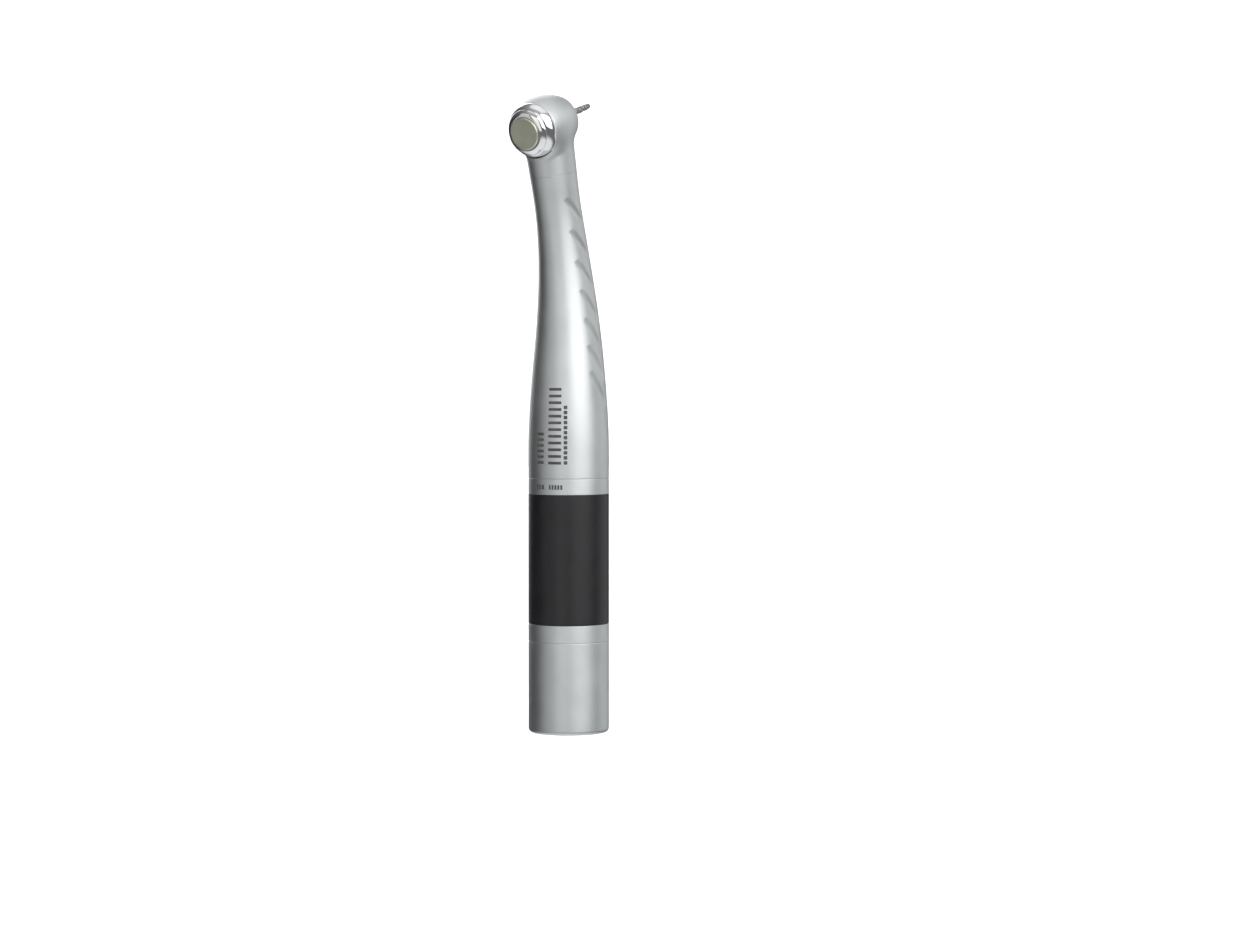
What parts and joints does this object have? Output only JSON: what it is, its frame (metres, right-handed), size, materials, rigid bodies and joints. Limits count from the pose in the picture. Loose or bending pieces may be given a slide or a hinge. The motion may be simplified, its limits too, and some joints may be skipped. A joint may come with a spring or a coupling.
{
  "type": "dental high speed handpiece",
  "caption": "Slim straight handle with a black grip band, curved tapering neck and a small barrel head that holds an air turbine, a push-button chuck and a removable bur.",
  "frame": {"origin": "centre of the handle's rear end face, at the mouth of the coupler socket", "axes": "+Z along the handle towards the head; the bur points towards +X and up, the neck leans towards -X, and XZ is the mirror plane of the outer shape"},
  "size_m": [0.0234, 0.0156, 0.1232],
  "materials": {
    "satin_chrome": "fine satin chrome plate",
    "polished_chrome": "polished",
    "button_metal": "fine satin face with a polished edge",
    "plate_metal": "fine turned satin",
    "black_band": "smooth satin black",
    "inner_steel": "machined",
    "bearing_steel": "ground",
    "spring_steel": "drawn wire and strip",
    "brass": "machined",
    "seal_rubber": "smooth",
    "light_glass": "polished",
    "cage_resin": "machined fibre resin",
    "bur_steel": "ground",
    "bur_carbide": "ground and fluted"
  },
  "bodies": {
    "handle": {"rear_sleeve": "satin_chrome", "rear_collar": "satin_chrome", "grip_band": "black_band", "front_collar": "satin_chrome", "handle_shell": "satin_chrome", "socket_core": "inner_steel", "socket_lock_ring": "spring_steel", "manifold_gasket": "seal_rubber", "manifold": "brass", "manifold_nut": "inner_steel", "core_o_ring": "seal_rubber", "drive_air_tube": "inner_steel", "water_tube": "inner_steel", "chip_air_tube": "inner_steel", "light_rod": "light_glass", "light_window": "light_glass", "head_housing": "satin_chrome", "face_plate": "plate_metal", "back_cap": "polished_chrome", "front_outer_ring": "bearing_steel", "rear_outer_ring": "bearing_steel", "front_bearing_shield": "bearing_steel", "rear_bearing_shield": "bearing_steel", "front_o_ring": "seal_rubber", "rear_o_ring": "seal_rubber", "preload_washer": "spring_steel", "button_spring": "spring_steel"},
    "button": {"push_button": "button_metal"},
    "rotor": {"spindle": "bearing_steel", "impeller": "brass", "front_inner_ring": "bearing_steel", "rear_inner_ring": "bearing_steel", "chuck_collet": "inner_steel", "plunger_stop_ring": "inner_steel"},
    "plunger": {"chuck_plunger": "inner_steel"},
    "front_cage": {"front_ball_cage": "cage_resin", "front_balls": "bearing_steel"},
    "rear_cage": {"rear_ball_cage": "cage_resin", "rear_balls": "bearing_steel"},
    "bur": {"bur_shank": "bur_steel", "bur_cutter": "bur_carbide"}
  },
  "joints": [
    {"name": "turbine_spin", "type": "hinge", "parent": "handle", "child": "rotor", "pos_m": [-0.00731, 0, 0.11744], "axis": [0.9537, 0, 0.3007], "continuous": true},
    {"name": "front_cage_spin", "type": "hinge", "parent": "handle", "child": "front_cage", "pos_m": [-0.00731, 0, 0.11744], "axis": [0.9537, 0, 0.3007], "continuous": true},
    {"name": "rear_cage_spin", "type": "hinge", "parent": "handle", "child": "rear_cage", "pos_m": [-0.00731, 0, 0.11744], "axis": [0.9537, 0, 0.3007], "continuous": true},
    {"name": "button_press", "type": "slide", "parent": "handle", "child": "button", "axis": [0.9537, 0, 0.3007], "range_m": [0, 0.0006], "stiffness_N_per_m": 10000, "springref_m": -0.0006, "deforming": ["button_spring"]},
    {"name": "plunger_press", "type": "slide", "parent": "rotor", "child": "plunger", "axis": [0.9537, 0, 0.3007], "range_m": [0, 0.0004]},
    {"name": "bur_release", "type": "slide", "parent": "rotor", "child": "bur", "axis": [0.9537, 0, 0.3007], "range_m": [0, 0.0095]}
  ],
  "couplings": [
    {"joint": "front_cage_spin", "follows": "turbine_spin", "ratio": 0.39496},
    {"joint": "rear_cage_spin", "follows": "turbine_spin", "ratio": 0.39496},
    {"joint": "plunger_press", "follows": "button_press", "ratio": 0.66}
  ]
}
